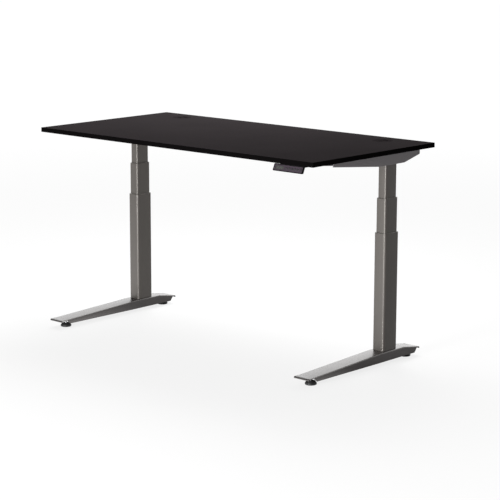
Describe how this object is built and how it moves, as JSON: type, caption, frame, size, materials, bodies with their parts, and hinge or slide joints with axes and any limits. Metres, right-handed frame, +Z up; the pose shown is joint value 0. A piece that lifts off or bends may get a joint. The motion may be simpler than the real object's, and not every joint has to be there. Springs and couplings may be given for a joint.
{
  "type": "standing desk",
  "caption": "Height adjustable standing desk: rectangular black laminate desktop, steel frame with two three-stage telescopic electric columns, long channel feet, handset and cable grommets.",
  "frame": {"origin": "on the floor under the centre of the desktop", "axes": "+X along the desktop's width (to the user's right), +Y from the user's front edge to the back edge, +Z up"},
  "size_m": [1.524, 0.774, 0.878],
  "materials": {
    "desktop_laminate": "black wood-effect laminate, fine matt grain",
    "edge_band": "black edge banding, satin",
    "frame_paint": "grey metallic powder coat, satin with fine texture",
    "foot_paint": "grey metallic powder coat, satin with fine texture",
    "bare_steel": "zinc-plated steel",
    "motor_can": "zinc-plated motor can",
    "guide_nylon": "natural nylon",
    "glide_rubber": "black moulded rubber-faced plastic",
    "black_plastic": "black moulded plastic, fine spark texture",
    "handset_panel": "smoked gloss panel",
    "display": "smoked clear window",
    "button_rubber": null,
    "cable_jacket": "black PVC",
    "board": "green circuit board"
  },
  "bodies": {
    "left_base": {"foot_left": "foot_paint", "outer_tube_left": "frame_paint", "outer_guide_left": "guide_nylon", "base_block_left": "bare_steel", "nut_post_left": "bare_steel"},
    "left_middle": {"middle_tube_left": "frame_paint", "middle_guide_left": "guide_nylon"},
    "hollow_screw_left": {"hollow_screw_left": "bare_steel"},
    "drive_screw_left": {"drive_screw_left": "bare_steel"},
    "glide_front_left": {"glide_pad_front_left": "glide_rubber", "glide_stud_front_left": "bare_steel"},
    "glide_rear_left": {"glide_pad_rear_left": "glide_rubber", "glide_stud_rear_left": "bare_steel"},
    "top_frame": {"inner_tube_left": "frame_paint", "head_plate_left": "frame_paint", "side_bracket_left": "frame_paint", "gearbox_left": "black_plastic", "motor_left": "motor_can", "motor_cable_left": "cable_jacket", "grommet_liner_left": "black_plastic", "inner_tube_right": "frame_paint", "head_plate_right": "frame_paint", "side_bracket_right": "frame_paint", "gearbox_right": "black_plastic", "motor_right": "motor_can", "motor_cable_right": "cable_jacket", "grommet_liner_right": "black_plastic", "desktop": "desktop_laminate", "edge_band": "edge_band", "rail_front": "frame_paint", "rail_rear": "frame_paint", "control_box": "black_plastic", "control_box_lid": "black_plastic", "circuit_board": "board", "power_inlet": "black_plastic", "handset_case": "black_plastic", "handset_face": "handset_panel", "display_window": "display", "handset_cable": "cable_jacket"},
    "grommet_lid_left": {"grommet_lid_left": "black_plastic"},
    "right_base": {"foot_right": "foot_paint", "outer_tube_right": "frame_paint", "outer_guide_right": "guide_nylon", "base_block_right": "bare_steel", "nut_post_right": "bare_steel"},
    "right_middle": {"middle_tube_right": "frame_paint", "middle_guide_right": "guide_nylon"},
    "hollow_screw_right": {"hollow_screw_right": "bare_steel"},
    "drive_screw_right": {"drive_screw_right": "bare_steel"},
    "glide_front_right": {"glide_pad_front_right": "glide_rubber", "glide_stud_front_right": "bare_steel"},
    "glide_rear_right": {"glide_pad_rear_right": "glide_rubber", "glide_stud_rear_right": "bare_steel"},
    "grommet_lid_right": {"grommet_lid_right": "black_plastic"},
    "button_down": {"button_down": "button_rubber"},
    "button_up": {"button_up": "button_rubber"},
    "button_one": {"button_one": "button_rubber"},
    "button_two": {"button_two": "button_rubber"},
    "button_three": {"button_three": "button_rubber"},
    "button_memory": {"button_memory": "button_rubber"}
  },
  "joints": [
    {"name": "lift", "type": "slide", "parent": "left_base", "child": "left_middle", "axis": [0, 0, 1], "range_m": [-0.132, 0.192]},
    {"name": "left_inner_slide", "type": "slide", "parent": "left_middle", "child": "top_frame", "axis": [0, 0, 1], "range_m": [-0.132, 0.192]},
    {"name": "right_inner_slide", "type": "slide", "parent": "top_frame", "child": "right_middle", "axis": [0, 0, 1], "range_m": [-0.192, 0.132]},
    {"name": "right_outer_slide", "type": "slide", "parent": "right_middle", "child": "right_base", "axis": [0, 0, 1], "range_m": [-0.192, 0.132]},
    {"name": "hollow_screw_left_spin", "type": "hinge", "parent": "left_middle", "child": "hollow_screw_left", "pos_m": [-0.703, 0.149, 0.44], "axis": [0, 0, 1], "continuous": true},
    {"name": "drive_screw_left_spin", "type": "hinge", "parent": "top_frame", "child": "drive_screw_left", "pos_m": [-0.703, 0.149, 0.58], "axis": [0, 0, 1], "continuous": true},
    {"name": "hollow_screw_right_spin", "type": "hinge", "parent": "right_middle", "child": "hollow_screw_right", "pos_m": [0.703, 0.149, 0.44], "axis": [0, 0, 1], "continuous": true},
    {"name": "drive_screw_right_spin", "type": "hinge", "parent": "top_frame", "child": "drive_screw_right", "pos_m": [0.703, 0.149, 0.58], "axis": [0, 0, 1], "continuous": true},
    {"name": "glide_front_left_screw", "type": "slide", "parent": "left_base", "child": "glide_front_left", "axis": [0, 0, 1], "range_m": [0, 0.005]},
    {"name": "glide_rear_left_screw", "type": "slide", "parent": "left_base", "child": "glide_rear_left", "axis": [0, 0, 1], "range_m": [0, 0.005]},
    {"name": "glide_front_right_screw", "type": "slide", "parent": "right_base", "child": "glide_front_right", "axis": [0, 0, 1], "range_m": [0, 0.005]},
    {"name": "glide_rear_right_screw", "type": "slide", "parent": "right_base", "child": "glide_rear_right", "axis": [0, 0, 1], "range_m": [0, 0.005]},
    {"name": "grommet_lid_left_lift", "type": "slide", "parent": "top_frame", "child": "grommet_lid_left", "axis": [0, 0, 1], "range_m": [0, 0.03]},
    {"name": "grommet_lid_right_lift", "type": "slide", "parent": "top_frame", "child": "grommet_lid_right", "axis": [0, 0, 1], "range_m": [0, 0.03]},
    {"name": "button_down_press", "type": "slide", "parent": "top_frame", "child": "button_down", "axis": [0, 0.9135, -0.4067], "range_m": [0, 0.0008], "stiffness_N_per_m": 900},
    {"name": "button_up_press", "type": "slide", "parent": "top_frame", "child": "button_up", "axis": [0, 0.9135, -0.4067], "range_m": [0, 0.0008], "stiffness_N_per_m": 900},
    {"name": "button_one_press", "type": "slide", "parent": "top_frame", "child": "button_one", "axis": [0, 0.9135, -0.4067], "range_m": [0, 0.0008], "stiffness_N_per_m": 900},
    {"name": "button_two_press", "type": "slide", "parent": "top_frame", "child": "button_two", "axis": [0, 0.9135, -0.4067], "range_m": [0, 0.0008], "stiffness_N_per_m": 900},
    {"name": "button_three_press", "type": "slide", "parent": "top_frame", "child": "button_three", "axis": [0, 0.9135, -0.4067], "range_m": [0, 0.0008], "stiffness_N_per_m": 900},
    {"name": "button_memory_press", "type": "slide", "parent": "top_frame", "child": "button_memory", "axis": [0, 0.9135, -0.4067], "range_m": [0, 0.0008], "stiffness_N_per_m": 900}
  ],
  "couplings": [
    {"joint": "left_inner_slide", "follows": "lift", "ratio": 1},
    {"joint": "right_inner_slide", "follows": "lift", "ratio": -1},
    {"joint": "right_outer_slide", "follows": "lift", "ratio": -1},
    {"joint": "hollow_screw_left_spin", "follows": "lift", "rad_per_m": 628.32},
    {"joint": "drive_screw_left_spin", "follows": "lift", "rad_per_m": 1256.6},
    {"joint": "hollow_screw_right_spin", "follows": "lift", "rad_per_m": 628.32},
    {"joint": "drive_screw_right_spin", "follows": "lift", "rad_per_m": 1256.6}
  ]
}
